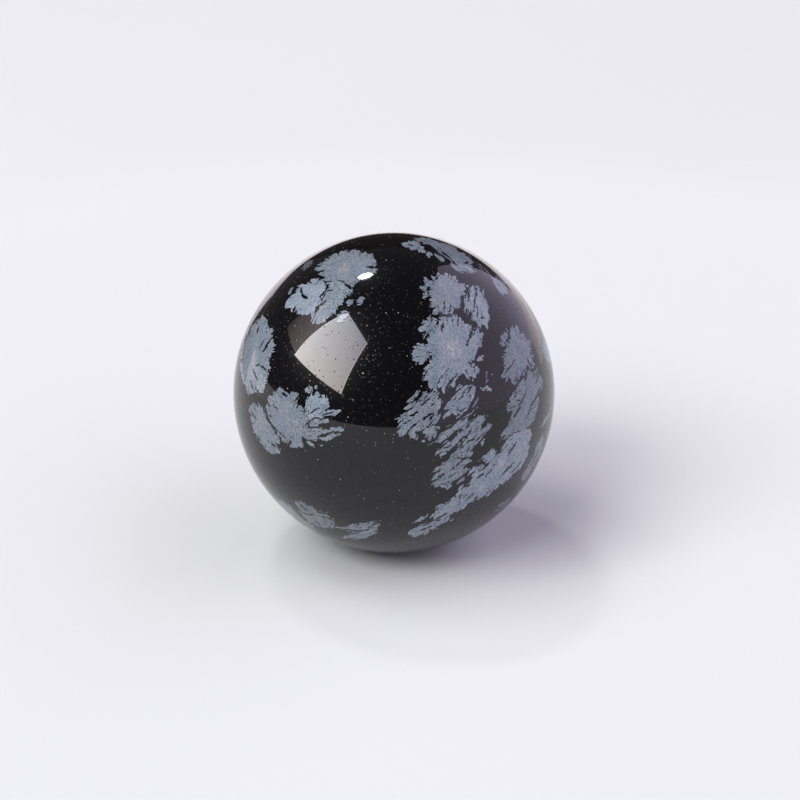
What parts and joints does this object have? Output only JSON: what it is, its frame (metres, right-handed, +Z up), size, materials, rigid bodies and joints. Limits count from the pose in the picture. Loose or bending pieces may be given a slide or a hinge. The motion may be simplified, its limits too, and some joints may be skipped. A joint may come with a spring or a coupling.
{
  "type": "snowflake obsidian ball",
  "caption": "Polished ball of black volcanic glass with blue-grey feathery snowflake markings, for display or for the hand.",
  "frame": {"origin": "middle of the small flat that the ball rests on, on the ball's vertical axis", "axes": "+Z up through the ball's centre; -Y towards the side with the most snowflakes, which is the picture's front; +X to the right as seen from there"},
  "size_m": [0.03, 0.03, 0.0299],
  "materials": {
    "polished_obsidian": "polished"
  },
  "bodies": {
    "root": {"obsidian_ball": "polished_obsidian"}
  },
  "joints": []
}
